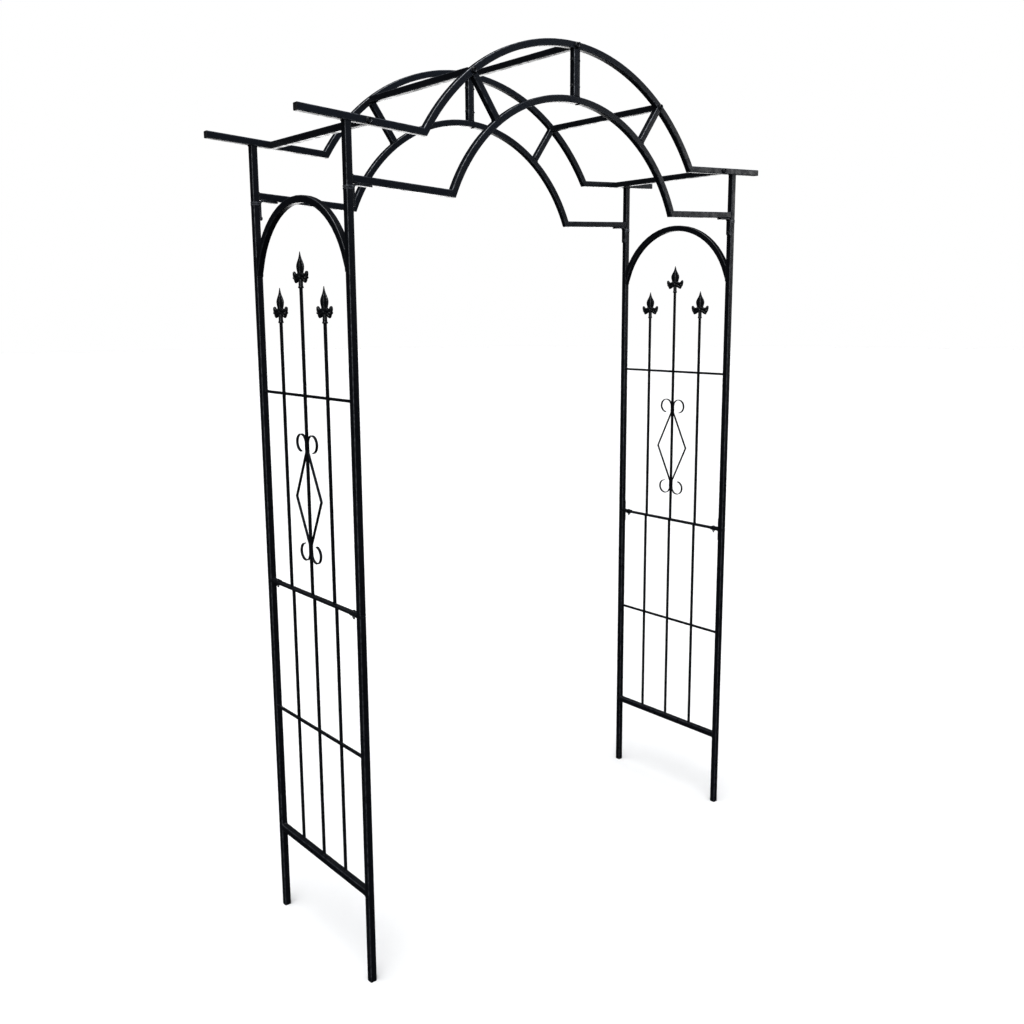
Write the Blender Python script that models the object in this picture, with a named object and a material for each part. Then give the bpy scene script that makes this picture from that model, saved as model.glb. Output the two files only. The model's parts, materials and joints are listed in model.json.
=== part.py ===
"""Metal trellis arch: a walk-through garden arch of square steel tube, powder-coated black.

Two trellis panels stand either side of the walkway, each in a lower and an upper section. They carry a
roof of two trusses, front and back, that five purlins join. Run it in Blender 4.5. Lengths are in
metres: +X runs across the walkway, +Y runs to the back, +Z is up, and the origin is on the ground at
the middle of the arch.
"""

import math

import bmesh
import bpy
from mathutils import Vector

# Frame
POST_SPAN = 1.300  # across the walkway, between post axes
POST_DEPTH = 0.410  # front to back, between post axes
TUBE = 0.016  # side of every square tube
WALL = 0.0012
GAP = 0.0003  # left wherever two pieces touch

# Trellis panels, heights above the ground
BOTTOM_RAIL_Z = 0.223
LOWER_ROD_Z = 0.559
MID_JOINT_Z = 0.891
UPPER_ROD_Z = 1.366
TOP_JOINT_Z = 1.810
ARCH_CROWN_Z = 1.8035
ARCH_RADIUS = 0.2075
ARCH_SEGMENTS = 24
STRIP_WIDTH = 0.014  # flat strips that meet at the mid joint
STRIP_THICKNESS = 0.0025
BAR = 0.006  # side of the square bars: pickets and cross rods
PICKET_PITCH = 0.099
LOWER_PICKET_IN = 0.0018  # how far the lower pickets stand in from the post axis
UPPER_PICKET_OUT = 0.0025  # how far the upper pickets stand out from it
WELD_DEPTH = 0.0008  # how far a welded cross rod sinks into its pickets

# Finials
FINIAL_HEIGHT = 0.081
CENTRE_TIP_Z = 1.690
SIDE_TIP_Z = 1.612
WING_THICKNESS = 0.008
LEAF_THICKNESS = 0.31  # of the leaf's width

# Scroll ornament on each centre picket
SCROLL_MIDDLE_Z = 1.1268
SCROLL_BAR_WIDTH = 0.006
SCROLL_BAR_THICKNESS = 0.0022
DIAMOND_REACH = 0.056
DIAMOND_HALF_HEIGHT = 0.109
CURL_RADIUS = 0.0202
CURL_RISE = 0.130  # curl centre from the ornament's middle
CURL_END = math.radians(82)  # where a curl stops, from the outward direction
CURL_SEGMENTS = 18

# Roof trusses
ARM_Z = 1.950  # arm axis at the posts
ARM_SLOPE = 0.050  # arms and lower bars rise outwards
ARM_TIP_X = 0.765
LOWER_BAR_Z = 1.828
LOWER_BAR_SLOPE = 0.045
OUTER_FOOT_X = 0.454
OUTER_CROWN_Z = 2.192
INNER_FOOT_X = 0.378
INNER_CROWN_Z = 2.0655
HOOP_SEGMENTS = 28
CROWN_X = 0.005  # the crown struts and purlin stand a little right of the middle
CROWN_PLATE_THICKNESS = 0.003  # flat plate that ends the right half of a truss
STRUT_ANGLE = math.radians(36.5)
STRUT_CLEARANCE = 0.0006
PURLIN_ARM_X = 0.600

# Corner brackets under the trusses
BRACKET_LEG = 0.046
BRACKET_WIDTH = 0.014
BRACKET_THICKNESS = 0.004
BRACKET_BEND = 0.008
BEND_SEGMENTS = 6

POST_X = POST_SPAN / 2
POST_Y = POST_DEPTH / 2
HALF = TUBE / 2
RAIL_REACH = POST_Y - HALF - GAP  # half the length of what runs between the posts
CROWN_END_X = {
    "left": CROWN_X + HALF,
    "right": CROWN_X + HALF + CROWN_PLATE_THICKNESS + 2 * GAP,
}  # where each half of a truss stops at the crown
SIDES = {"left": -1, "right": 1}
ENDS = {"front": -1, "back": 1}
ACROSS = Vector((1, 0, 0))
DEPTH = Vector((0, 1, 0))
UP = Vector((0, 0, 1))


def clear_scene():
    for obj in list(bpy.data.objects):
        bpy.data.objects.remove(obj, do_unlink=True)


def powder_coat(name, colour, roughness):
    """A painted steel material."""
    material = bpy.data.materials.new(name)
    material.use_nodes = True
    shader = material.node_tree.nodes["Principled BSDF"]
    shader.inputs["Base Color"].default_value = (*colour, 1)
    shader.inputs["Roughness"].default_value = roughness
    shader.inputs["Metallic"].default_value = 0.0
    shader.inputs["Coat Weight"].default_value = 0.3
    return material


def add_object(name, bm, material):
    """Turns a bmesh into a named object with its faces pointing out."""
    bmesh.ops.recalc_face_normals(bm, faces=bm.faces)
    mesh = bpy.data.meshes.new(name)
    bm.to_mesh(mesh)
    bm.free()
    mesh.materials.append(material)
    obj = bpy.data.objects.new(name, mesh)
    bpy.context.scene.collection.objects.link(obj)
    return obj


def mitred_offsets(path, plane_normal, cuts):
    """One vector per path point, in the path's plane, that reaches a unit to the side with mitred bends.

    cuts maps 0 or -1 to the direction of that end's cut face within the plane.
    """
    last = len(path) - 1
    normals = [plane_normal.cross((path[i + 1] - path[i]).normalized()) for i in range(last)]
    offsets = []
    for i in range(last + 1):
        before = normals[max(i - 1, 0)]
        after = normals[min(i, last - 1)]
        end = {0: 0, last: -1}.get(i)
        direction = cuts.get(end, before + after)
        offsets.append(direction / direction.dot(after))
    return offsets


def cross_sections(bm, path, offsets, plane_normal, width, height):
    """A rectangle's four corners at each path point. width is across the plane, height lies in it."""
    corners = ((-1, -1), (1, -1), (1, 1), (-1, 1))
    sections = []
    for point, offset in zip(path, offsets):
        across = plane_normal * (width / 2)
        side = offset * (height / 2)
        sections.append([bm.verts.new(point + across * a + side * b) for a, b in corners])
    return sections


def join_rings(bm, first, second):
    """Quads between two rings of corners."""
    for i in range(len(first)):
        bm.faces.new((first[i - 1], first[i], second[i], second[i - 1]))


def skin(bm, sections):
    for first, second in zip(sections, sections[1:]):
        join_rings(bm, first, second)


def tube(name, path, plane_normal, material, cuts=None):
    """A square tube along a path in one plane, open at both ends."""
    bm = bmesh.new()
    offsets = mitred_offsets(path, plane_normal, cuts or {})
    bore = TUBE - 2 * WALL
    outside = cross_sections(bm, path, offsets, plane_normal, TUBE, TUBE)
    inside = cross_sections(bm, path, offsets, plane_normal, bore, bore)
    skin(bm, outside)
    skin(bm, inside)
    for end in (0, -1):
        join_rings(bm, outside[end], inside[end])
    return add_object(name, bm, material)


def bar(name, path, plane_normal, width, height, material):
    """A solid rectangular bar along a path in one plane."""
    bm = bmesh.new()
    offsets = mitred_offsets(path, plane_normal, {})
    sections = cross_sections(bm, path, offsets, plane_normal, width, height)
    skin(bm, sections)
    for end in (0, -1):
        bm.faces.new(sections[end])
    return add_object(name, bm, material)


def upright(x, y, bottom, top):
    return [Vector((x, y, bottom)), Vector((x, y, top))]


def front_to_back(x, z, half_length):
    return [Vector((x, -half_length, z)), Vector((x, half_length, z))]


def arc_points(centre, radius, start, end, segments, axis_u, axis_v):
    """Points on a circle in the plane of two axes, from one angle to another."""
    angles = [start + (end - start) * i / segments for i in range(segments + 1)]
    return [centre + axis_u * (radius * math.cos(a)) + axis_v * (radius * math.sin(a)) for a in angles]


def union(name, shapes, material):
    """One closed mesh from overlapping shapes, which are used up."""
    base = shapes[0]
    for shape in shapes[1:]:
        join = base.modifiers.new("Join", "BOOLEAN")
        join.operation = "UNION"
        join.solver = "EXACT"
        join.object = shape
    bpy.context.view_layer.update()
    graph = bpy.context.evaluated_depsgraph_get()
    mesh = bpy.data.meshes.new_from_object(base.evaluated_get(graph))
    mesh.name = name
    mesh.materials.clear()
    mesh.materials.append(material)
    for shape in shapes:
        bpy.data.objects.remove(shape, do_unlink=True)
    return mesh


def place_mesh(name, mesh, location):
    obj = bpy.data.objects.new(name, mesh)
    obj.location = location
    bpy.context.scene.collection.objects.link(obj)
    return obj


# Trellis panels


def panel_posts(side, x, material):
    """The four post lengths of one panel: a lower and an upper one at the front and at the back."""
    strips = GAP / 2 + STRIP_THICKNESS + GAP
    levels = {
        "lower": (0, MID_JOINT_Z - strips),
        "upper": (MID_JOINT_Z + strips, TOP_JOINT_Z - GAP / 2),
    }
    for end, sign in ENDS.items():
        for level, (bottom, top) in levels.items():
            tube(f"{side}_{end}_{level}_post", upright(x, sign * POST_Y, bottom, top), DEPTH, material)


def joint_strips(side, x, material):
    """The flat strips that close the lower section and start the upper one."""
    from_joint = (GAP + STRIP_THICKNESS) / 2
    for level, z in (("lower", MID_JOINT_Z - from_joint), ("upper", MID_JOINT_Z + from_joint)):
        bar(f"{side}_{level}_joint_strip", front_to_back(x, z, POST_Y + HALF), ACROSS, STRIP_WIDTH,
            STRIP_THICKNESS, material)


def lower_grille(side, x, inwards, material):
    """Three pickets and the cross rod that is welded across their outer side."""
    bottom = BOTTOM_RAIL_Z + HALF + GAP
    top = MID_JOINT_Z - GAP / 2 - STRIP_THICKNESS - GAP
    picket_x = x + inwards * LOWER_PICKET_IN
    rod_x = picket_x - inwards * (BAR - WELD_DEPTH)
    shapes = [bar("rod", front_to_back(rod_x, LOWER_ROD_Z, RAIL_REACH), ACROSS, BAR, BAR, material)]
    for step in (-1, 0, 1):
        path = upright(picket_x, step * PICKET_PITCH, bottom, top)
        shapes.append(bar("picket", path, DEPTH, BAR, BAR, material))
    place_mesh(f"{side}_lower_grille", union("lower_grille", shapes, material), (0, 0, 0))


def panel_arch(side, x, material):
    """The round arch between the upper posts."""
    centre = Vector((x, 0, ARCH_CROWN_Z - ARCH_RADIUS))
    start = math.acos(RAIL_REACH / ARCH_RADIUS)
    path = arc_points(centre, ARCH_RADIUS, start, math.pi - start, ARCH_SEGMENTS, DEPTH, UP)
    tube(f"{side}_panel_arch", path, ACROSS, material, cuts={0: UP, -1: UP})


# Finials and scrolls


def finial_wings(material):
    """The two side lobes of a finial, an outline in the panel's plane with its base at z 0."""
    top_to_bottom = (
        (0.0000, 0.0365),
        (0.0080, 0.0360),
        (0.0150, 0.0320),
        (0.0205, 0.0315),
        (0.0245, 0.0350),
        (0.0275, 0.0382),
        (0.0305, 0.0365),
        (0.0310, 0.0310),
        (0.0290, 0.0245),
        (0.0250, 0.0175),
        (0.0210, 0.0115),
        (0.0150, 0.0135),
        (0.0075, 0.0175),
        (0.0000, 0.0120),
    )
    mirrored = [(-y, z) for y, z in reversed(top_to_bottom[1:-1])]
    bm = bmesh.new()
    verts = [bm.verts.new((-WING_THICKNESS / 2, y, z)) for y, z in list(top_to_bottom) + mirrored]
    extruded = bmesh.ops.extrude_face_region(bm, geom=[bm.faces.new(verts)])
    moved = [item for item in extruded["geom"] if isinstance(item, bmesh.types.BMVert)]
    bmesh.ops.translate(bm, verts=moved, vec=(WING_THICKNESS, 0, 0))
    return add_object("wings", bm, material)


def ring_stack(name, levels, sides, material):
    """A closed shape through rings of corners. A level holds a height and a ring's reach in X and Y."""
    bm = bmesh.new()
    sections = []
    for z, reach_x, reach_y in levels:
        angles = [2 * math.pi * i / sides for i in range(sides)]
        sections.append([bm.verts.new((reach_x * math.cos(a), reach_y * math.sin(a), z)) for a in angles])
    skin(bm, sections)
    for end in (0, -1):
        bm.faces.new(sections[end])
    return add_object(name, bm, material)


def finial_leaf(material):
    """The pointed leaf of a finial, with a ridge down each face."""
    half_widths = ((0.025, 0.0080), (0.035, 0.0118), (0.043, 0.0143), (0.049, 0.0150), (0.056, 0.0124),
                   (0.064, 0.0070), (0.072, 0.0034), (FINIAL_HEIGHT, 0.0004))
    return ring_stack("leaf", [(z, w * LEAF_THICKNESS, w) for z, w in half_widths], 4, material)


def finial_collar(material):
    """The socket that the picket ends in, with a ring at its foot."""
    radii = ((0.000, 0.0048), (0.0015, 0.0054), (0.0035, 0.0054), (0.005, 0.0043), (0.018, 0.0040))
    return ring_stack("collar", [(z, r, r) for z, r in radii], 10, material)


def picket_mesh(name, length, material):
    """An upper picket with its finial. Its origin is at the finial's base, and length is below it."""
    foot_to_socket = upright(0, 0, -length, BAR)
    shapes = [
        bar("picket", foot_to_socket, DEPTH, BAR, BAR, material),
        finial_collar(material),
        finial_wings(material),
        finial_leaf(material),
    ]
    return union(name, shapes, material)


def upper_pickets(material):
    """Three pickets in each upper section, the middle one taller."""
    foot = MID_JOINT_Z + GAP / 2 + STRIP_THICKNESS + GAP
    centre_base = CENTRE_TIP_Z - FINIAL_HEIGHT
    side_base = SIDE_TIP_Z - FINIAL_HEIGHT
    centre_mesh = picket_mesh("centre_picket", centre_base - foot, material)
    side_mesh = picket_mesh("side_picket", side_base - foot, material)
    for side, sign in SIDES.items():
        x = sign * (POST_X + UPPER_PICKET_OUT)
        place_mesh(f"{side}_front_picket", side_mesh, (x, -PICKET_PITCH, side_base))
        place_mesh(f"{side}_centre_picket", centre_mesh, (x, 0, centre_base))
        place_mesh(f"{side}_back_picket", side_mesh, (x, PICKET_PITCH, side_base))


def scroll_path(x, sign):
    """One scroll bar: a curl, half of the diamond, and a curl, on one side of the centre picket."""
    outwards = DEPTH * sign
    inner = BAR / 2 + GAP + SCROLL_BAR_THICKNESS / 2
    middle = Vector((x, 0, SCROLL_MIDDLE_Z))
    curl_centre = outwards * (inner + CURL_RADIUS)
    top = middle + curl_centre + UP * CURL_RISE
    bottom = middle + curl_centre - UP * CURL_RISE
    path = arc_points(top, CURL_RADIUS, -CURL_END, math.pi, CURL_SEGMENTS, outwards, UP)
    path.append(middle + outwards * inner + UP * DIAMOND_HALF_HEIGHT)
    path.append(middle + outwards * DIAMOND_REACH)
    path.append(middle + outwards * inner - UP * DIAMOND_HALF_HEIGHT)
    path += arc_points(bottom, CURL_RADIUS, -math.pi, CURL_END, CURL_SEGMENTS, outwards, UP)
    return path


def scrolls(side, x, material):
    for end, sign in ENDS.items():
        bar(f"{side}_{end}_scroll", scroll_path(x, sign), ACROSS, SCROLL_BAR_WIDTH,
            SCROLL_BAR_THICKNESS, material)


# Corner brackets


def corner_bracket(name, side_sign, y, material):
    """An angle of flat bar: one leg down the upper post, one leg in under the truss's lower bar."""
    inwards = ACROSS * -side_sign
    half = BRACKET_THICKNESS / 2 + GAP
    slope = math.atan(LOWER_BAR_SLOPE)
    leg = inwards * math.cos(slope) - UP * math.sin(slope)
    post_face = Vector((side_sign * (POST_X - HALF), y, 0)) + inwards * half
    bar_drop = (HALF + half) / math.cos(slope) + (HALF + half) * LOWER_BAR_SLOPE
    corner = post_face + UP * (LOWER_BAR_Z - bar_drop)
    turn = math.pi / 2 + slope
    trim = BRACKET_BEND * math.tan(turn / 2)
    bend_centre = corner - UP * trim + inwards * BRACKET_BEND
    bend = arc_points(bend_centre, BRACKET_BEND, math.pi, math.pi - turn, BEND_SEGMENTS, inwards, UP)
    path = [corner - UP * BRACKET_LEG, *bend, corner + leg * BRACKET_LEG]
    bar(name, path, DEPTH, BRACKET_WIDTH, BRACKET_THICKNESS, material)


# Roof trusses


def hoop_circle(foot_x, foot_z, crown_z):
    """Radius and centre height of the arc through two feet and the crown."""
    rise = crown_z - foot_z
    radius = (foot_x**2 + rise**2) / (2 * rise)
    return radius, crown_z - radius


def bar_z(x, post_z, slope):
    """Height of a sloping arm or lower bar at a distance from the arch's middle."""
    return post_z + slope * (abs(x) - POST_X)


def half_hoop(name, side, y, foot_x, crown_z, post_z, slope, outer_x, material):
    """Half an arc, mitred at its foot into the straight bar that runs on outwards."""
    foot_z = bar_z(foot_x, post_z, slope)
    radius, centre_z = hoop_circle(foot_x, foot_z, crown_z)
    start = math.asin(SIDES[side] * CROWN_END_X[side] / radius)
    end = math.asin(foot_x / radius)
    centre = Vector((0, y, centre_z))
    outwards = ACROSS * SIDES[side]
    path = arc_points(centre, radius, start, end, HOOP_SEGMENTS, UP, outwards)
    path.append(centre + outwards * outer_x + UP * (bar_z(outer_x, post_z, slope) - centre_z))
    tube(name, path, DEPTH, material, cuts={0: UP, -1: UP})


def stub_post(name, side_sign, y, material):
    """The short post under the arm. Its top is cut to the arm's slope."""
    top = ARM_Z - (HALF + GAP) / math.cos(math.atan(ARM_SLOPE))
    path = upright(side_sign * POST_X, y, TOP_JOINT_Z + GAP / 2, top)
    tube(name, path, DEPTH, material, cuts={-1: ACROSS + UP * (ARM_SLOPE * side_sign)})


def inner_hoop_reach(angle, centre_z):
    """Distance from the outer hoop's centre to the inner hoop's axis, along a ray this far from upright."""
    foot_z = bar_z(INNER_FOOT_X, LOWER_BAR_Z, LOWER_BAR_SLOPE)
    radius, inner_centre_z = hoop_circle(INNER_FOOT_X, foot_z, INNER_CROWN_Z)
    drop = centre_z - inner_centre_z
    return math.sqrt(radius**2 - (drop * math.sin(angle)) ** 2) - drop * math.cos(angle)


def side_struts(end, y, material):
    """Two short tubes between a truss's hoops, in line with the outer hoop's centre."""
    radius, centre_z = OUTER_CIRCLE
    centre = Vector((0, y, centre_z))
    for side, sign in SIDES.items():
        ray = ACROSS * (sign * math.sin(STRUT_ANGLE)) + UP * math.cos(STRUT_ANGLE)
        start = centre + ray * (inner_hoop_reach(STRUT_ANGLE, centre_z) + HALF + STRUT_CLEARANCE)
        finish = centre + ray * (radius - HALF - STRUT_CLEARANCE)
        tube(f"{end}_{side}_side_strut", [start, finish], DEPTH, material)


def crown_joint(end, y, material):
    """The strut that ends the left half of a truss, and the plate that ends the right half."""
    from_hoop = HALF + STRUT_CLEARANCE
    strut = upright(CROWN_X, y, INNER_CROWN_Z + from_hoop, OUTER_CROWN_Z - from_hoop)
    tube(f"{end}_crown_strut", strut, DEPTH, material)
    plate_x = CROWN_END_X["left"] + GAP + CROWN_PLATE_THICKNESS / 2
    plate = upright(plate_x, y, INNER_CROWN_Z - HALF, OUTER_CROWN_Z + HALF)
    bar(f"{end}_crown_plate", plate, DEPTH, TUBE, CROWN_PLATE_THICKNESS, material)


def truss(end, y, materials):
    """One truss: outer and inner half hoops, struts, crown plate and two stub posts."""
    for side, sign in SIDES.items():
        half_hoop(f"{end}_{side}_outer_hoop", side, y, OUTER_FOOT_X, OUTER_CROWN_Z, ARM_Z, ARM_SLOPE,
                  ARM_TIP_X, materials["hoop"])
        half_hoop(f"{end}_{side}_inner_hoop", side, y, INNER_FOOT_X, INNER_CROWN_Z, LOWER_BAR_Z,
                  LOWER_BAR_SLOPE, POST_X - HALF - GAP, materials["hoop"])
        stub_post(f"{end}_{side}_stub_post", sign, y, materials["post"])
    side_struts(end, y, materials["strut"])
    crown_joint(end, y, materials["strut"])


def purlins(material):
    """Five tubes from the front truss to the back one."""
    radius, centre_z = OUTER_CIRCLE
    side_x = radius * math.sin(STRUT_ANGLE)
    side_z = centre_z + radius * math.cos(STRUT_ANGLE)
    arm_z = bar_z(PURLIN_ARM_X, ARM_Z, ARM_SLOPE)
    tube("crown_purlin", front_to_back(CROWN_X, OUTER_CROWN_Z, RAIL_REACH), ACROSS, material)
    for side, sign in SIDES.items():
        tube(f"{side}_hoop_purlin", front_to_back(sign * side_x, side_z, RAIL_REACH), ACROSS, material)
        tube(f"{side}_arm_purlin", front_to_back(sign * PURLIN_ARM_X, arm_z, RAIL_REACH), ACROSS,
             material)


OUTER_CIRCLE = hoop_circle(OUTER_FOOT_X, bar_z(OUTER_FOOT_X, ARM_Z, ARM_SLOPE), OUTER_CROWN_Z)


def main():
    clear_scene()
    materials = {
        "post": powder_coat("post_coat", (0.012, 0.014, 0.019), 0.42),
        "rail": powder_coat("rail_coat", (0.012, 0.014, 0.018), 0.42),
        "bar": powder_coat("bar_coat", (0.010, 0.012, 0.016), 0.40),
        "casting": powder_coat("casting_coat", (0.011, 0.013, 0.017), 0.45),
        "scroll": powder_coat("scroll_coat", (0.010, 0.012, 0.016), 0.40),
        "hoop": powder_coat("hoop_coat", (0.013, 0.015, 0.021), 0.40),
        "strut": powder_coat("strut_coat", (0.013, 0.015, 0.021), 0.40),
        "purlin": powder_coat("purlin_coat", (0.013, 0.015, 0.020), 0.41),
        "bracket": powder_coat("bracket_coat", (0.015, 0.017, 0.022), 0.45),
    }
    for side, sign in SIDES.items():
        x = sign * POST_X
        panel_posts(side, x, materials["post"])
        tube(f"{side}_bottom_rail", front_to_back(x, BOTTOM_RAIL_Z, RAIL_REACH), ACROSS,
             materials["rail"])
        joint_strips(side, x, materials["rail"])
        lower_grille(side, x, -sign, materials["bar"])
        rod_x = sign * (POST_X + UPPER_PICKET_OUT - BAR - GAP)
        bar(f"{side}_upper_cross_rod", front_to_back(rod_x, UPPER_ROD_Z, RAIL_REACH), ACROSS, BAR, BAR,
            materials["bar"])
        panel_arch(side, x, materials["rail"])
        scrolls(side, sign * (POST_X + UPPER_PICKET_OUT), materials["scroll"])
        for end, end_sign in ENDS.items():
            corner_bracket(f"{side}_{end}_corner_bracket", sign, end_sign * POST_Y, materials["bracket"])
    upper_pickets(materials["casting"])
    for end, sign in ENDS.items():
        truss(end, sign * POST_Y, materials)
    purlins(materials["purlin"])


main()
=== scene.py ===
"""Looks of a walk-through garden arch of black powder-coated steel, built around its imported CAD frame.

Lengths are in metres, in the frame's own axes: +X across the walkway, +Y to the back, +Z up. Places come
from the CAD nodes. The CAD's sharp tubes and bars are replaced by copies with rounded edges, the finials
and scrolls are rebuilt in full, and welds, bolts, small brackets and end plugs are added.
"""

import json
import math

import bmesh
import bpy
from mathutils import Matrix, Vector, noise


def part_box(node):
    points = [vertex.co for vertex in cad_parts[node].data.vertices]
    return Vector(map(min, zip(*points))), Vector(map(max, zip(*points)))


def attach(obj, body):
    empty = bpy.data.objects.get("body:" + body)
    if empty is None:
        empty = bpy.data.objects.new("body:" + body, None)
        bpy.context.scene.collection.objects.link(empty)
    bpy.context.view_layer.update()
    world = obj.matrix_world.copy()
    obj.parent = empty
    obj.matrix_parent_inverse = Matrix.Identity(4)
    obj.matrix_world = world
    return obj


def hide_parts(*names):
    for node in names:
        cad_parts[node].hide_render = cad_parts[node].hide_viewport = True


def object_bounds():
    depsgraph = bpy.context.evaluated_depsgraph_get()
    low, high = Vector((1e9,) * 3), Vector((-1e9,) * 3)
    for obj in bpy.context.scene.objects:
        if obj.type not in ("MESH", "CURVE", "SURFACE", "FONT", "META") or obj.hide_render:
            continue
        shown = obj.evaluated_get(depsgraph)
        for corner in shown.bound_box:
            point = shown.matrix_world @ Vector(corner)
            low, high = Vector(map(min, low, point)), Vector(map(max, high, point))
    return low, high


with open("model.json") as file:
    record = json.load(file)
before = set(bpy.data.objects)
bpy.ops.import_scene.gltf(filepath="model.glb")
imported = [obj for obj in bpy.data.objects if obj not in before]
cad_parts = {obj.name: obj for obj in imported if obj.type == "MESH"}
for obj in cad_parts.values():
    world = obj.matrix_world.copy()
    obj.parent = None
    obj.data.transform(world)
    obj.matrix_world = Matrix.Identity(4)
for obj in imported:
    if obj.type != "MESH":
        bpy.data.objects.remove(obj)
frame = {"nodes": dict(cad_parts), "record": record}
cad_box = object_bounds()

ACROSS = Vector((1, 0, 0))
DEPTH = Vector((0, 1, 0))
UP = Vector((0, 0, 1))
SIDES = {"left": -1, "right": 1}
ENDS = {"front": -1, "back": 1}
HEXAGON = "hexagon"

# Rounding of the drawn tube and bar
TUBE_RADIUS = 0.0020
BAR_RADIUS = 0.0006
STRIP_RADIUS = 0.0004
BRACKET_RADIUS = 0.0010
SQUARE_CORNER = math.radians(80)  # sharper than any mitre of the hoops
SMOOTH_LIMIT = math.radians(35)
FLAT_LIMIT = math.radians(0.6)
MERGE = 0.00002
PARALLEL = 0.9  # dot product from which two directions count as the same

# Upper pickets: the finial's height, and the ornament on the middle one
FINIAL_HEIGHT = 0.081
SOCKET_DEPTH = 0.006  # how far the bar goes up into its finial
CAST_VOXEL = 0.0005
CAST_SHARE = 0.30  # of the remeshed faces that are kept
STRIP_WIDTH = 0.006
STRIP_THICKNESS = 0.0022
CURL_RADIUS = 0.0202
CURL_RISE = 0.130
CURL_END = math.radians(82)  # where a curl stops, from the outward direction
CURL_STEPS = 44
DIAMOND_REACH = 0.056
DIAMOND_HALF_HEIGHT = 0.109
DIAMOND_BEND = 0.004  # radius of its outer bends
TOUCH_BEND = 0.010  # radius where a strip leaves the picket

# Joints between the sections, and the arms' plugs
SECTION_JOINT_Z = 1.810  # where the upper posts meet the stub posts
CROWN_FACE_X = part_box("front_left_outer_hoop")[1].x  # where the left halves of the trusses end
END_PLATE = 0.0040
END_PLATE_GAP = 0.0006
END_PLATE_PROUD = 0.0006
END_PLATE_EASE = 0.0004
ANGLE_LEG = 0.030  # small brackets at the mid joints
ANGLE_WIDTH = 0.012
ANGLE_THICKNESS = 0.0022
ANGLE_BEND = 0.003
PLUG_PROFILE = (
    # beyond the arm's end, and width
    (-0.0060, 0.0125),
    (0.0002, 0.0130),
    (0.0002, 0.0153),
    (0.0008, 0.0153),
    (0.0012, 0.0145),
    (0.0012, 0.0110),
    (0.0007, 0.0100),
    (0.0007, 0.0010),
)
PLUG_CORNER = 0.0016

# Screws, bolts and nuts, as multiples of an M6
PURLIN_SCREW = 1.12
CROWN_BOLT = 0.80
CROWN_NUT = 0.75
CROWN_BOLT_HEIGHTS = (0.22, 0.78)  # as shares of the crown strut
BRACKET_SCREW = 0.80
BRACKET_SCREW_INSET = 0.0055  # from the ends of a corner bracket's legs
BRACKET_SCREW_SINK = 0.0003  # into the sloping leg
ANGLE_BOLT = 0.60
ANGLE_NUT = 0.75
ANGLE_BOLT_REACH = 0.022  # from the post's face
CROWN_THREAD = 0.0045  # past its nut
ANGLE_THREAD = 0.0060
THREAD_PITCH = 0.0008

# Welds
FILLET_BEAD = 0.0017  # across a corner between two tubes
SEAM_BEAD = 0.0006  # along flush faces
SMALL_BEAD = 0.0010  # on the 6 mm bars
TOUCH_BEAD = SMALL_BEAD * 0.8  # where the scrolls touch their picket
TOUCH_BEAD_HALF_LENGTH = 0.005
BEAD_SIDES = 8
BEAD_STEP = 0.0011
BEAD_RIPPLE = 0.0024
RIPPLE_SHARE = 0.12  # of a bead's radius
LUMP_SHARE = 0.30  # of a bead's radius
LUMP_SCALE = 180  # lumps to the metre, roughly
BLUNT_TIP = 0.15  # of a bead's section, left at its ends
END_NEARNESS = 0.002  # how near a bolted joint or a free end counts as at it

# Paint
DUST = (0.036, 0.036, 0.035)
DUST_SHARE = 0.25
# lighter coat on the rounded edges: partly wear, partly a painted highlight
WORN_AND_HIGHLIT_COAT = (0.17, 0.18, 0.20)
# lighter colour on the casting's raised relief: partly rubbed paint, partly painted highlight flecks
RUBBED_AND_HIGHLIT_CASTING = (0.150, 0.155, 0.165)

# Camera and studio
CAMERA_PLACE = Vector((-1.78669, -2.01016, 1.55795))
CAMERA_YAW = 0.7188  # from +Y towards +X
CAMERA_PITCH = -0.163
CAMERA_ROLL = -0.005
LENS = 34.736
SHIFT = (0.0010, -0.0383)
STAGE_RADIUS = 40
DOME_RADIUS = 0.99 * STAGE_RADIUS
DIM_SURROUNDINGS = (0.016, 0.017, 0.020)
LAMPS = (
    # direction, degrees to full light and to none, colour, strength
    ((-0.2, -0.1, 1.0), 16, 34, (1.0, 1.0, 1.0), 6.2),  # overhead
    ((-0.70, -0.70, 0.22), 12, 36, (0.95, 0.98, 1.0), 2.8),  # behind the camera
    ((0.62, 0.77, -0.17), 8, 19, (1.0, 1.0, 1.0), 3.4),  # beyond the arch and low
    ((0.50, -0.78, 0.40), 8, 22, (0.72, 0.88, 1.20), 0.50),  # from the front right, bluish
    ((0.85, -0.53, 0.13), 0, 9, (1.0, 1.0, 1.0), 4.0),  # a small one from the right
)


# Meshes


def join_rings(bm, first, second):
    """Quads between two rings of vertices."""
    for i in range(len(first)):
        bm.faces.new((first[i - 1], first[i], second[i], second[i - 1]))


def skin(bm, rings):
    """A closed surface through rings of vertices, capped at both ends."""
    for first, second in zip(rings, rings[1:]):
        join_rings(bm, first, second)
    bm.faces.new(rings[0])
    bm.faces.new(rings[-1])


def piece_from(bm, name, slot, nodes=(), weighted=True):
    """Turns a bmesh into a piece that rides on the arch's one body and stands for the CAD nodes given."""
    bmesh.ops.recalc_face_normals(bm, faces=bm.faces)
    mesh = bpy.data.meshes.new(name)
    bm.to_mesh(mesh)
    bm.free()
    mesh.shade_smooth()
    mesh.set_sharp_from_angle(angle=SMOOTH_LIMIT)
    return piece_with(mesh, name, slot, nodes, weighted)


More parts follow.
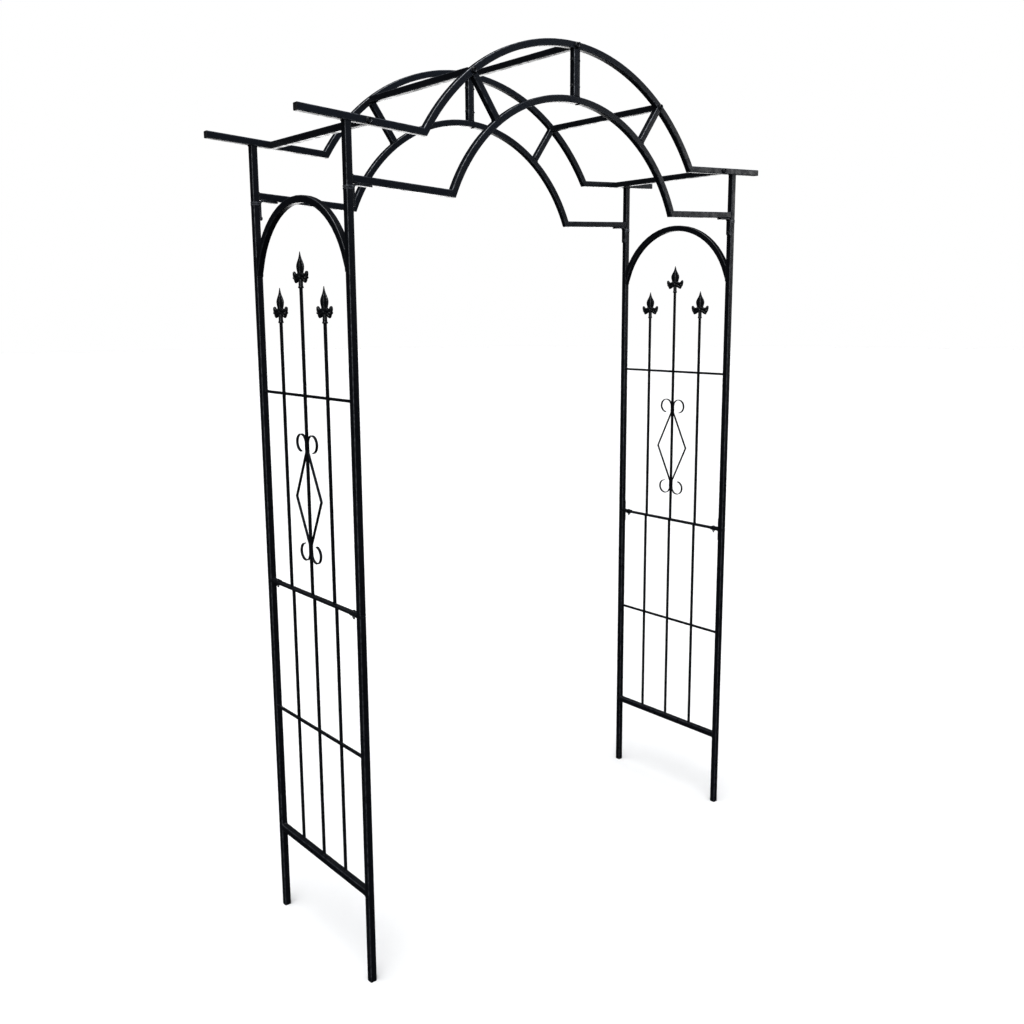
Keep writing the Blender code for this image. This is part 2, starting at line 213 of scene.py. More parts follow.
def piece_with(mesh, name, slot, nodes=(), weighted=True):
    """Makes a mesh a piece. weighted evens the shading of its flat faces."""
    piece = bpy.data.objects.new(name, mesh)
    bpy.context.scene.collection.objects.link(piece)
    if not mesh.materials:
        mesh.materials.append(MATERIALS[slot])
    if weighted:
        normals = piece.modifiers.new("Flat faces", "WEIGHTED_NORMAL")
        normals.keep_sharp = True
    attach(piece, "root")
    if nodes:
        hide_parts(*nodes)
    return piece


def cad_bmesh(node):
    """A CAD node's solid with whole faces instead of triangles."""
    source = frame["nodes"][node].data
    bm = bmesh.new()
    corners = [bm.verts.new(vertex.co) for vertex in source.vertices]
    for polygon in source.polygons:
        bm.faces.new([corners[i] for i in polygon.vertices])
    bmesh.ops.remove_doubles(bm, verts=bm.verts, dist=MERGE)
    bmesh.ops.recalc_face_normals(bm, faces=bm.faces)
    bmesh.ops.dissolve_limit(bm, angle_limit=FLAT_LIMIT, verts=bm.verts, edges=bm.edges)
    return bm


def bore_faces(bm):
    """The inside walls of a tube, which meet each other in square concave corners."""
    return {
        face
        for edge in bm.edges
        if edge.calc_face_angle(0) > SQUARE_CORNER and not edge.is_convex
        for face in edge.link_faces
    }


def mouth_faces(bm, bore):
    """The cut ends of a tube, between its bore and its outside."""
    touching = {face for wall in bore for edge in wall.edges for face in edge.link_faces}
    return touching - bore


def end_box(node, axis, sign):
    """Lowest and highest corner of the face where a CAD node ends on an axis."""
    corners = [vertex.co for vertex in frame["nodes"][node].data.vertices]
    limit = max(sign * co[axis] for co in corners)
    facing = [co for co in corners if sign * co[axis] > limit - MERGE]
    lowest = Vector(min(co[i] for co in facing) for i in range(3))
    highest = Vector(max(co[i] for co in facing) for i in range(3))
    return lowest, highest


def arc_points(centre, radius, start, end, steps, axis_u, axis_v):
    """Points on a circle in the plane of two axes, from one angle to another."""
    angles = [start + (end - start) * i / steps for i in range(steps + 1)]
    return [centre + axis_u * (radius * math.cos(a)) + axis_v * (radius * math.sin(a)) for a in angles]


def rounded_rectangle(width, height, radius, steps=2):
    """A rectangle's outline with round corners, as pairs."""
    points = []
    for quarter, (a, b) in enumerate(((1, 1), (-1, 1), (-1, -1), (1, -1))):
        for i in range(steps + 1):
            angle = math.radians(90) * (quarter + i / steps)
            points.append((a * (width / 2 - radius) + radius * math.cos(angle),
                           b * (height / 2 - radius) + radius * math.sin(angle)))
    return points


def swept(bm, path, plane_normal, section):
    """A bar along a path in one plane. section's pairs reach along the plane's normal and in the plane."""
    last = len(path) - 1
    normals = [plane_normal.cross((path[i + 1] - path[i]).normalized()) for i in range(last)]
    rings = []
    for i, point in enumerate(path):
        before = normals[max(i - 1, 0)]
        after = normals[min(i, last - 1)]
        offset = (before + after) / (before + after).dot(after)
        rings.append([bm.verts.new(point + plane_normal * a + offset * b) for a, b in section])
    skin(bm, rings)


def filleted(path, radius, steps=5):
    """A path with its inner points rounded to arcs."""
    rounded = [path[0]]
    for before, corner, after in zip(path, path[1:], path[2:]):
        back = (before - corner).normalized()
        onward = (after - corner).normalized()
        half = back.angle(onward) / 2
        reach = min(radius / math.tan(half), 0.45 * min((before - corner).length, (after - corner).length))
        first, last = corner + back * reach, corner + onward * reach
        for i in range(steps + 1):
            t = i / steps
            rounded.append(first * (1 - t) ** 2 + corner * (2 * t * (1 - t)) + last * t**2)
    return rounded + [path[-1]]


def turned(bm, rings, place, steps=24):
    """A solid of rings about the place's Z axis.

    A ring is a radius and a height. A third item, HEXAGON, makes the ring six-sided.
    """
    placed = []
    for radius, height, *shape in rings:
        ring = []
        for i in range(steps):
            angle = 2 * math.pi * i / steps
            from_flat = angle % math.radians(60) - math.radians(30)
            six_sided = radius * math.cos(math.radians(30)) / math.cos(from_flat)
            reach = six_sided if HEXAGON in shape else radius
            corner = Vector((reach * math.cos(angle), reach * math.sin(angle), height))
            ring.append(bm.verts.new(place @ corner))
        placed.append(ring)
    skin(bm, placed)


def facing(point, axis):
    """A place on a surface whose Z axis points along an axis."""
    return Matrix.Translation(point) @ axis.to_track_quat("Z", "Y").to_matrix().to_4x4()


def round_edges(bm, edges, radius, segments):
    """Rounds edges and marks the new faces, for the wear and the painted highlight on them."""
    wear_and_highlight = bm.faces.layers.float.new("edge")
    rounded = bmesh.ops.bevel(bm, geom=edges, offset=radius, offset_type="OFFSET", segments=segments,
                              profile=0.5, affect="EDGES", clamp_overlap=True)
    for face in rounded["faces"]:
        face[wear_and_highlight] = 1.0


def coated_tube(node, slot):
    """A CAD tube with its long outer edges rounded, as rolled tube has them."""
    bm = cad_bmesh(node)
    bore = bore_faces(bm)
    inside = bore | mouth_faces(bm, bore)
    edges = [
        edge
        for edge in bm.edges
        if edge.calc_face_angle(0) > SQUARE_CORNER and not inside.intersection(edge.link_faces)
    ]
    round_edges(bm, edges, TUBE_RADIUS, 3)
    return piece_from(bm, f"{node}_coated", slot, [node])


def coated_bar(node, slot, radius):
    """A CAD bar with all its corners eased."""
    bm = cad_bmesh(node)
    edges = [edge for edge in bm.edges if edge.calc_face_angle(0) > SMOOTH_LIMIT and edge.is_convex]
    round_edges(bm, edges, radius, 2)
    return piece_from(bm, f"{node}_coated", slot, [node])


# Materials


def noise_at(tree, place, scale, detail=3.0, roughness=0.55):
    texture = tree.nodes.new("ShaderNodeTexNoise")
    texture.inputs["Scale"].default_value = scale
    texture.inputs["Detail"].default_value = detail
    texture.inputs["Roughness"].default_value = roughness
    tree.links.new(place, texture.inputs["Vector"])
    return texture.outputs["Fac"]


def ramp_of(tree, value, low, high, to_low=0.0, to_high=1.0):
    """A value from low to high taken to a new range, clamped and smoothed."""
    ramp = tree.nodes.new("ShaderNodeMapRange")
    ramp.interpolation_type = "SMOOTHSTEP"
    for name, number in (("From Min", low), ("From Max", high), ("To Min", to_low), ("To Max", to_high)):
        ramp.inputs[name].default_value = number
    tree.links.new(value, ramp.inputs["Value"])
    return ramp.outputs["Result"]


def product(tree, first, second):
    times = tree.nodes.new("ShaderNodeMath")
    times.operation = "MULTIPLY"
    tree.links.new(first, times.inputs[0])
    tree.links.new(second, times.inputs[1])
    return times.outputs["Value"]


def mixed_colour(tree, factor, first, second):
    """A colour between two, each a socket or a constant."""
    mix = tree.nodes.new("ShaderNodeMix")
    mix.data_type = "RGBA"
    tree.links.new(factor, mix.inputs["Factor"])
    for name, colour in (("A", first), ("B", second)):
        socket = next(s for s in mix.inputs if s.name == name and s.type == "RGBA")
        if isinstance(colour, bpy.types.NodeSocket):
            tree.links.new(colour, socket)
        else:
            socket.default_value = (*colour, 1)
    return next(s for s in mix.outputs if s.type == "RGBA")


def bumped(tree, height, strength, distance, below=None):
    bump = tree.nodes.new("ShaderNodeBump")
    bump.inputs["Strength"].default_value = strength
    bump.inputs["Distance"].default_value = distance
    tree.links.new(height, bump.inputs["Height"])
    if below is not None:
        tree.links.new(below, bump.inputs["Normal"])
    return bump.outputs["Normal"]


def new_material(name):
    material = bpy.data.materials.new(name)
    material.use_nodes = True
    tree = material.node_tree
    shader = tree.nodes["Principled BSDF"]
    place = tree.nodes.new("ShaderNodeTexCoord").outputs["Object"]
    return material, tree, shader, place


def scaled(colour, factor):
    return tuple(channel * factor for channel in colour)


def powder_coat(name, colour, gloss, edge_wear_and_highlight):
    """Satin powder coat: fine orange peel, cloudy gloss, dust on what faces up, and thin wear on edges,
    lightened further as a painted highlight.
    """
    material, tree, shader, place = new_material(name)
    cloud = ramp_of(tree, noise_at(tree, place, 7.0), 0.3, 0.7)
    body = mixed_colour(tree, cloud, scaled(colour, 0.82), scaled(colour, 1.22))

    up = tree.nodes.new("ShaderNodeSeparateXYZ")
    tree.links.new(tree.nodes.new("ShaderNodeNewGeometry").outputs["Normal"], up.inputs["Vector"])
    settled = product(tree, ramp_of(tree, up.outputs["Z"], 0.55, 1.0),
                      ramp_of(tree, noise_at(tree, place, 38.0, 6.0), 0.42, 0.75, 0.0, DUST_SHARE))
    dusty = mixed_colour(tree, settled, body, DUST)

    edge = tree.nodes.new("ShaderNodeAttribute")
    edge.attribute_name = "edge"
    # the rounded edges take a lighter coat, partly wear and partly a painted highlight
    wear_and_highlight = product(tree, edge.outputs["Fac"],
                   ramp_of(tree, noise_at(tree, place, 85.0, 6.0, 0.65), 0.38, 0.66, 0.15 * edge_wear_and_highlight, edge_wear_and_highlight))
    tree.links.new(mixed_colour(tree, wear_and_highlight, dusty, WORN_AND_HIGHLIT_COAT), shader.inputs["Base Color"])
    tree.links.new(ramp_of(tree, wear_and_highlight, 0.0, 1.0, 0.5, 0.9), shader.inputs["Specular IOR Level"])

    shine = noise_at(tree, place, 55.0, 5.0)
    tree.links.new(ramp_of(tree, shine, 0.3, 0.7, gloss - 0.07, gloss + 0.09), shader.inputs["Roughness"])

    peel = bumped(tree, noise_at(tree, place, 950.0, 2.0, 0.5), 0.22, 0.00012)
    flow = bumped(tree, noise_at(tree, place, 160.0, 3.0), 0.10, 0.0004, peel)
    tree.links.new(flow, shader.inputs["Normal"])
    return material


def cast_coat(name, colour, gloss):
    """Powder coat over a rough casting: pitted and lumpy, and lighter where the relief stands up, partly
    rubbed paint and partly a painted highlight.
    """
    material, tree, shader, place = new_material(name)
    cloud = ramp_of(tree, noise_at(tree, place, 30.0, 4.0), 0.3, 0.7)
    body = mixed_colour(tree, cloud, scaled(colour, 0.8), scaled(colour, 1.3))
    high = ramp_of(tree, tree.nodes.new("ShaderNodeNewGeometry").outputs["Pointiness"], 0.51, 0.57)
    # the raised relief is lighter: partly rubbed paint, partly a painted highlight
    rubbed_and_highlit = product(tree, high, ramp_of(tree, noise_at(tree, place, 240.0, 5.0), 0.35, 0.58))
    tree.links.new(mixed_colour(tree, rubbed_and_highlit, body, RUBBED_AND_HIGHLIT_CASTING), shader.inputs["Base Color"])
    shine = noise_at(tree, place, 140.0, 4.0)
    tree.links.new(ramp_of(tree, shine, 0.3, 0.7, gloss - 0.08, gloss + 0.10), shader.inputs["Roughness"])
    pits = bumped(tree, noise_at(tree, place, 520.0, 4.0, 0.6), 0.35, 0.0004)
    lumps = bumped(tree, noise_at(tree, place, 230.0, 2.0, 0.5), 0.75, 0.0022, pits)
    tree.links.new(lumps, shader.inputs["Normal"])
    return material


def fastener_steel(name, colour):
    """Plated steel, with fine turning marks and dull patches."""
    material, tree, shader, place = new_material(name)
    patch = ramp_of(tree, noise_at(tree, place, 260.0, 4.0), 0.35, 0.7)
    tree.links.new(mixed_colour(tree, patch, colour, scaled(colour, 0.6)), shader.inputs["Base Color"])
    tree.links.new(ramp_of(tree, noise_at(tree, place, 420.0), 0.3, 0.7, 0.38, 0.54),
                   shader.inputs["Roughness"])
    shader.inputs["Metallic"].default_value = 1.0
    marks = bumped(tree, noise_at(tree, place, 2600.0, 2.0), 0.15, 0.00008)
    tree.links.new(marks, shader.inputs["Normal"])
    return material


def plug_plastic(name, colour):
    """Moulded polyethylene: matt, with a fine leathery grain."""
    material, tree, shader, place = new_material(name)
    cloud = ramp_of(tree, noise_at(tree, place, 60.0), 0.3, 0.7)
    tree.links.new(mixed_colour(tree, cloud, scaled(colour, 0.85), scaled(colour, 1.25)),
                   shader.inputs["Base Color"])
    tree.links.new(ramp_of(tree, noise_at(tree, place, 180.0), 0.3, 0.7, 0.55, 0.70),
                   shader.inputs["Roughness"])
    grain = tree.nodes.new("ShaderNodeTexVoronoi")
    grain.inputs["Scale"].default_value = 1400.0
    tree.links.new(place, grain.inputs["Vector"])
    tree.links.new(bumped(tree, grain.outputs["Distance"], 0.25, 0.0001), shader.inputs["Normal"])
    return material


def make_materials():
    """One material for each of the record's slots, in the record's colours."""
    colours = {row["slot"]: tuple(row["base_color"]) for row in frame["record"]["materials"]}
    # each coat's roughness, and how far its edges are worn and lightened as a painted highlight
    coats = {
        "post_coat": (0.32, 0.40),
        "rail_coat": (0.32, 0.25),
        "bar_coat": (0.31, 0.15),
        "scroll_coat": (0.30, 0.15),
        "hoop_coat": (0.28, 0.85),
        "strut_coat": (0.28, 0.85),
        "purlin_coat": (0.30, 0.60),
        "bracket_coat": (0.32, 1.00),
    }
    made = {slot: powder_coat(slot, colours[slot], *finish) for slot, finish in coats.items()}
    made["casting_coat"] = cast_coat("casting_coat", colours["casting_coat"], 0.33)
    made["fastener"] = fastener_steel("fastener", colours["fastener"])
    made["end_cap"] = plug_plastic("end_cap", colours["end_cap"])
    return made


# Frame pieces


TUBE_COATS = {
    "post": "post_coat",
    "rail": "rail_coat",
    "arch": "rail_coat",
    "hoop": "hoop_coat",
    "strut": "strut_coat",
    "purlin": "purlin_coat",
}
BAR_COATS = {
    "strip": ("rail_coat", STRIP_RADIUS),
    "grille": ("bar_coat", BAR_RADIUS),
    "rod": ("bar_coat", BAR_RADIUS),
    "bracket": ("bracket_coat", BRACKET_RADIUS),
    "plate": ("strut_coat", STRIP_RADIUS),
}


def coat_frame():
    """Rounded copies of every tube and bar, whose kind is the last word of their name."""
    for node in sorted(frame["nodes"]):
        kind = node.rsplit("_", 1)[1]
        if kind in TUBE_COATS:
            coated_tube(node, TUBE_COATS[kind])
        elif kind in BAR_COATS:
            coated_bar(node, *BAR_COATS[kind])


# Upper pickets and their ornaments


WING_OUTLINE = (
    (0.0080, 0.0345),
    (0.0150, 0.0318),
    (0.0205, 0.0313),
    (0.0245, 0.0348),
    (0.0275, 0.0380),
    (0.0305, 0.0365),
    (0.0311, 0.0310),
    (0.0290, 0.0245),
    (0.0252, 0.0175),
    (0.0212, 0.0115),
    (0.0150, 0.0135),
    (0.0078, 0.0178),
)
WING_HALF_THICKNESS = 0.0031
FINIAL_PETALS = (
    # the upper petal, which ends in a hook: its middle line, half widths and half depths
    (((0.000, 0.0270), (0.008, 0.0290), (0.015, 0.0280), (0.021, 0.0278), (0.0258, 0.0302),
      (0.0283, 0.0345)),
     (0.0050, 0.0052, 0.0042, 0.0038, 0.0034, 0.0022),
     (0.0044, 0.0049, 0.0048, 0.0046, 0.0044, 0.0036)),
    # the lobe that hangs down
    (((0.002, 0.0245), (0.009, 0.0222), (0.0150, 0.0195), (0.0195, 0.0168), (0.0208, 0.0135)),
     (0.0032, 0.0038, 0.0036, 0.0030, 0.0018), (0.0046, 0.0049, 0.0048, 0.0044, 0.0036)),
)
FINIAL_BOSSES = ((0.0252, 0.0232, 0.0034), (0.0205, 0.0168, 0.0030))  # across, up, radius


def wing_plate(bm, side):
    """The body that the petals of one side stand on, thinner towards its edge."""
    outline = [Vector((0, side * y, z)) for y, z in WING_OUTLINE]
    middle = sum(outline, Vector()) / len(outline)
    rings = []
    for share, x in ((0.90, -1.0), (1.0, -0.55), (1.0, 0.55), (0.90, 1.0)):
        ring = [middle + (corner - middle) * share + ACROSS * x * WING_HALF_THICKNESS for corner in outline]
        rings.append([bm.verts.new(corner) for corner in ring])
    skin(bm, rings)


def boss(bm, y, z, radius):
    """A round stud through the wing."""
    bmesh.ops.create_uvsphere(bm, u_segments=16, v_segments=10, radius=radius,
                              matrix=Matrix.Translation((0, y, z)) @ Matrix.Diagonal((1.75, 1, 1, 1)))


def petal(bm, centreline, widths, depths):
    """A leaf of the finial: a lens-shaped rod along a line in the panel's plane, narrowing to its tip."""
    steps = 12
    rings = []
    for i, (y, z) in enumerate(centreline):
        before = Vector(centreline[max(i - 1, 0)])
        after = Vector(centreline[min(i + 1, len(centreline) - 1)])
        along = (after - before).normalized()
        ring = []
        for k in range(steps):
            angle = 2 * math.pi * k / steps
            out = widths[i] * math.cos(angle)
            ring.append(bm.verts.new((depths[i] * math.sin(angle), y - along.y * out, z + along.x * out)))
        rings.append(ring)
    skin(bm, rings)


def leaf(bm):
    """The pointed blade, with a rib down the middle of each face, hollow flanks and a thick rim."""
    half_widths = ((0.022, 0.0060), (0.028, 0.0092), (0.034, 0.0114), (0.039, 0.0130), (0.044, 0.0145),
                   (0.049, 0.0150), (0.054, 0.0135), (0.058, 0.0112), (0.062, 0.0085), (0.066, 0.0059),
                   (0.070, 0.0041), (0.075, 0.0026), (FINIAL_HEIGHT, 0.0007))
    quarter = ((1.0, 0.0), (0.95, 0.45), (0.80, 0.60), (0.55, 0.42), (0.28, 0.55), (0.12, 0.98))
    rings = []
    for z, half_width in half_widths:
        depth = 0.26 * half_width + 0.0009
        outline = [(depth * x, half_width * y) for y, x in quarter]
        outline += [(x, -y) for x, y in reversed(outline)]
        outline += [(-x, -y) for x, y in outline[1:-1]]
        rings.append([bm.verts.new((x, y, z)) for x, y in outline])
    skin(bm, rings)


def finial_mesh():
    """A fleur-de-lis spear, cast in one with its socket. Its base is at the origin."""
    bm = bmesh.new()
    socket = ((0.0050, 0.0000), (0.0062, 0.0008), (0.0064, 0.0026), (0.0057, 0.0038), (0.0051, 0.0050),
              (0.0050, 0.0150), (0.0053, 0.0190), (0.0056, 0.0230), (0.0030, 0.0300))
    turned(bm, socket, Matrix.Identity(4))
    leaf(bm)
    for side in (-1, 1):
        wing_plate(bm, side)
        for centreline, widths, depths in FINIAL_PETALS:
            petal(bm, [(side * y, z) for y, z in centreline], widths, depths)
        for y, z, radius in FINIAL_BOSSES:
            boss(bm, side * y, z, radius)
    knot = [(0.0064 * math.cos(a), 0.0250 + 0.0056 * math.sin(a))
            for a in (math.radians(d) for d in range(-80, 81, 20))]
    turned(bm, knot, Matrix.Identity(4))
    bmesh.ops.recalc_face_normals(bm, faces=bm.faces)
    mesh = bpy.data.meshes.new("finial_forms")
    bm.to_mesh(mesh)
    bm.free()
    return cast_in_one(mesh)


def cast_in_one(mesh):
    """Melts overlapping forms into one soft-edged surface, as a casting has."""
    form = bpy.data.objects.new("casting", mesh)
    bpy.context.scene.collection.objects.link(form)
    melt = form.modifiers.new("Melt", "REMESH")
    melt.mode = "VOXEL"
    melt.voxel_size = CAST_VOXEL
    soften = form.modifiers.new("Soften", "SMOOTH")
    soften.factor = 0.5
    soften.iterations = 3
    thin_out = form.modifiers.new("Thin out", "DECIMATE")
    thin_out.ratio = CAST_SHARE
    bpy.context.view_layer.update()
    graph = bpy.context.evaluated_depsgraph_get()
    cast = bpy.data.meshes.new_from_object(form.evaluated_get(graph))
    cast.name = "finial"
    cast.shade_smooth()
    cast.materials.clear()
    bpy.data.objects.remove(form, do_unlink=True)
    return cast


def upper_pickets():
    """Each picket's bar, and its finial on top."""
    shared = finial_mesh()
    shared.materials.append(MATERIALS["casting_coat"])
    for side in SIDES:
        for place in ("front", "centre", "back"):
            node = f"{side}_{place}_picket"
            low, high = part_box(node)
            foot_low, foot_high = end_box(node, 2, -1)
            foot = (foot_low + foot_high) / 2
            base = Vector((foot.x, foot.y, high.z - FINIAL_HEIGHT))
            bm = bmesh.new()
            side_length = foot_high.x - foot_low.x
            swept(bm, [foot, base + UP * SOCKET_DEPTH], DEPTH,
                  rounded_rectangle(side_length, side_length, BAR_RADIUS))
            piece_from(bm, f"{side}_{place}_picket_bar", "bar_coat", [node])
            finial = piece_with(shared, f"{side}_{place}_finial", "casting_coat", [node], weighted=False)
            finial.matrix_world = Matrix.Translation(base)


def scroll_route(node, sign, picket_half):
    """The middle line of one scroll strip: a curl, half of the diamond, and a curl."""
    low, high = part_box(node)
    outwards = DEPTH * sign
    inner = picket_half + STRIP_THICKNESS / 2
    middle = Vector(((low.x + high.x) / 2, 0, (low.z + high.z) / 2))
    curl = outwards * (inner + CURL_RADIUS)
    top = arc_points(middle + curl + UP * CURL_RISE, CURL_RADIUS, -CURL_END, math.pi, CURL_STEPS,
                     outwards, UP)
    bottom = arc_points(middle + curl - UP * CURL_RISE, CURL_RADIUS, -math.pi, CURL_END, CURL_STEPS,
                        outwards, UP)
    touch_top = middle + outwards * inner + UP * DIAMOND_HALF_HEIGHT
    touch_bottom = middle + outwards * inner - UP * DIAMOND_HALF_HEIGHT
    corner = middle + outwards * DIAMOND_REACH
    leave = filleted([top[-1], touch_top, corner], TOUCH_BEND)
    turn = filleted([touch_top, corner, touch_bottom], DIAMOND_BEND)
    arrive = filleted([corner, touch_bottom, bottom[0]], TOUCH_BEND)
    return top + leave[1:-1] + turn[1:-1] + arrive[1:-1] + bottom


def scrolls():
    section = rounded_rectangle(STRIP_WIDTH, STRIP_THICKNESS, STRIP_RADIUS)
    for side in SIDES:
        foot_low, foot_high = end_box(f"{side}_centre_picket", 2, -1)
        for end, sign in ENDS.items():
            node = f"{side}_{end}_scroll"
            bm = bmesh.new()
            swept(bm, scroll_route(node, sign, (foot_high.y - foot_low.y) / 2), ACROSS, section)
            piece_from(bm, f"{node}_strip", "scroll_coat", [node])


# Section joints


def end_plates():
    """Two thin plates where each upper post meets its stub post, painted lighter all over as a highlight.
    """
    bm = bmesh.new()
    for side in SIDES:
        for end in ENDS:
            low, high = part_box(f"{end}_{side}_stub_post")
            width = high.x - low.x + 2 * END_PLATE_PROUD
            outline = rounded_rectangle(width, width, TUBE_RADIUS, 3)
            for step in (-1, 1):
                middle = Vector(((low.x + high.x) / 2, (low.y + high.y) / 2,
                                 SECTION_JOINT_Z + step * (END_PLATE + END_PLATE_GAP) / 2))
                rings = []
                eased = 1 - 2 * END_PLATE_EASE / width
                for height, shrink in ((-0.5, eased), (-0.42, 1), (0.42, 1), (0.5, eased)):
                    level = middle + UP * (height * END_PLATE)
                    rings.append([bm.verts.new(level + ACROSS * (a * shrink) + DEPTH * (b * shrink))
                                  for a, b in outline])
                skin(bm, rings)
    # every face of the plates takes the lighter edge coat: a painted highlight that shows the joint as
    # light lines
    wear_and_highlight = bm.faces.layers.float.new("edge")
    for face in bm.faces:
        face[wear_and_highlight] = 1.0
    piece_from(bm, "section_joint_plates", "bracket_coat")


def mid_joint_brackets():
    """A small angle above and below the joint strips at each post."""
    section = rounded_rectangle(ANGLE_WIDTH, ANGLE_THICKNESS, STRIP_RADIUS)
    for side in SIDES:
        for end, sign in ENDS.items():
            for level, rise in (("lower", -1), ("upper", 1)):
                low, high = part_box(f"{side}_{level}_joint_strip")
                post_low, post_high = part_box(f"{side}_{end}_{level}_post")
                face_y = post_high.y if sign < 0 else post_low.y
                strip_z = high.z if rise > 0 else low.z
                corner = Vector(((low.x + high.x) / 2, face_y - sign * ANGLE_THICKNESS / 2,
                                 strip_z + rise * ANGLE_THICKNESS / 2))
                tips = (corner + UP * (rise * ANGLE_LEG), corner - DEPTH * (sign * ANGLE_LEG))
                path = filleted([tips[0], corner, tips[1]], ANGLE_BEND)
                bm = bmesh.new()
                swept(bm, path, ACROSS, section)
                piece_from(bm, f"{side}_{end}_{level}_angle", "bracket_coat")


def end_plugs():
    """Moulded plugs that close the arms' tips."""
    for end in ENDS:
        for side, sign in SIDES.items():
            low, high = end_box(f"{end}_{side}_outer_hoop", 0, sign)
            middle = (low + high) / 2
            bm = bmesh.new()
            rings = []
            for out, width in PLUG_PROFILE:
                outline = rounded_rectangle(width, width, min(PLUG_CORNER, width / 3), 3)
                rings.append([bm.verts.new(middle + ACROSS * (sign * out) + DEPTH * a + UP * b)
                              for a, b in outline])
            skin(bm, rings)
            piece_from(bm, f"{end}_{side}_arm_plug", "end_cap")


# Fasteners


def hollow_screw(plated, coated, point, axis, size):
    """A black domed head round a bare plated socket, with a black disc at its bottom as painted shade for
    the depth of the recess.
    """
    place = facing(point, axis) @ Matrix.Scale(size, 4)
    head = ((0.0064, 0.0), (0.0066, 0.0003), (0.0066, 0.0008), (0.0060, 0.0012), (0.0060, 0.0024),
            (0.0057, 0.0034), (0.0052, 0.0040), (0.0048, 0.0041), (0.0046, 0.0038), (0.0046, 0.0006),
            (0.0010, 0.0005))
    turned(coated, head, place)
    socket = ((0.0040, 0.0008), (0.0045, 0.0009), (0.0045, 0.0041), (0.0043, 0.0042), (0.0041, 0.0040),
              (0.0041, 0.0012), (0.0020, 0.0011))
    turned(plated, socket, place)
    # black disc at the socket's bottom: painted shade for the deep recess
    bottom = ((0.0020, 0.0009), (0.0038, 0.0010), (0.0037, 0.0015), (0.0012, 0.0014))
    turned(coated, bottom, place)


def fixings(name, plated, coated):
    """The plated and the black parts of one set of screws."""
    piece_from(plated, f"{name}_plated", "fastener")
    piece_from(coated, f"{name}_heads", "bracket_coat")


def nut_and_tip(bm, point, axis, size, tip):
    """A hexagon nut on a washer, with the end of the thread through it."""
    place = facing(point, axis) @ Matrix.Scale(size, 4)
    washer = ((0.0060, 0.0), (0.0062, 0.0003), (0.0062, 0.0007), (0.0059, 0.0010))
    turned(bm, washer, place)
    nut = ((0.0050, 0.0009), (0.0056, 0.0014, HEXAGON), (0.0056, 0.0052, HEXAGON), (0.0049, 0.0058),
           (0.0031, 0.0058), (0.0029, 0.0050))
    turned(bm, nut, place)
    nut_top = 0.0050
    thread = [(0.0026, 0.0045)]
    for i in range(round(tip / THREAD_PITCH)):
        thread.append((0.0030, nut_top + THREAD_PITCH * (i + 0.25)))
        thread.append((0.0026, nut_top + THREAD_PITCH * (i + 0.75)))
    thread.append((0.0021, nut_top + tip + THREAD_PITCH * 0.6))
    turned(bm, thread, place)


def purlin_screws():
    """Screws through the trusses into the purlins' ends."""
    purlins = ("crown_purlin", "left_hoop_purlin", "right_hoop_purlin", "left_arm_purlin",
               "right_arm_purlin")
    for end, sign in ENDS.items():
        plated, coated = bmesh.new(), bmesh.new()
        low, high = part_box(f"{end}_left_outer_hoop")
        face_y = low.y if sign < 0 else high.y
        for node in purlins:
            first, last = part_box(node)
            middle = (first + last) / 2
            point = Vector((middle.x, face_y, middle.z))
            hollow_screw(plated, coated, point, DEPTH * sign, PURLIN_SCREW)
        fixings(f"{end}_purlin_screws", plated, coated)


def crown_bolts():
    """Two bolts along X that close each truss at its crown."""
    for end in ENDS:
        plated, coated = bmesh.new(), bmesh.new()
        low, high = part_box(f"{end}_crown_strut")
        plate_face_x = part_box(f"{end}_crown_plate")[1].x
        middle_y = (low.y + high.y) / 2
        for share in CROWN_BOLT_HEIGHTS:
            z = low.z + share * (high.z - low.z)
            hollow_screw(plated, coated, Vector((low.x, middle_y, z)), -ACROSS, CROWN_BOLT)
            nut_and_tip(plated, Vector((plate_face_x, middle_y, z)), ACROSS, CROWN_NUT, CROWN_THREAD)
        fixings(f"{end}_crown_bolts", plated, coated)


def bracket_bolts():
    """Screws that hold the corner brackets' legs, and a bolt through each pair of small angles."""
    for side, sign in SIDES.items():
        inwards = ACROSS * -sign
        plated, coated = bmesh.new(), bmesh.new()
        for end, end_sign in ENDS.items():
            bracket = f"{side}_{end}_corner_bracket"
            foot_low, foot_high = end_box(bracket, 2, -1)
            middle_y = (foot_low.y + foot_high.y) / 2
            leg_x = foot_high.x if sign < 0 else foot_low.x
            foot = Vector((leg_x, middle_y, foot_low.z + BRACKET_SCREW_INSET))
            hollow_screw(plated, coated, foot, inwards, BRACKET_SCREW)
            tip = end_box(bracket, 0, -sign)[0]
            under = Vector((tip.x + sign * BRACKET_SCREW_INSET, middle_y, tip.z + BRACKET_SCREW_SINK))
            hollow_screw(plated, coated, under, -UP, BRACKET_SCREW)

            post_low, post_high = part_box(f"{side}_{end}_upper_post")
            face_y = post_high.y if end_sign < 0 else post_low.y
            upper_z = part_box(f"{side}_upper_joint_strip")[1].z + ANGLE_THICKNESS
            lower_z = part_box(f"{side}_lower_joint_strip")[0].z - ANGLE_THICKNESS
            bolt = Vector(((post_low.x + post_high.x) / 2, face_y - end_sign * ANGLE_BOLT_REACH, 0))
            hollow_screw(plated, coated, bolt + UP * upper_z, UP, ANGLE_BOLT)
            nut_and_tip(plated, bolt + UP * lower_z, -UP, ANGLE_NUT, ANGLE_THREAD)
        fixings(f"{side}_bracket_bolts", plated, coated)


# Welds


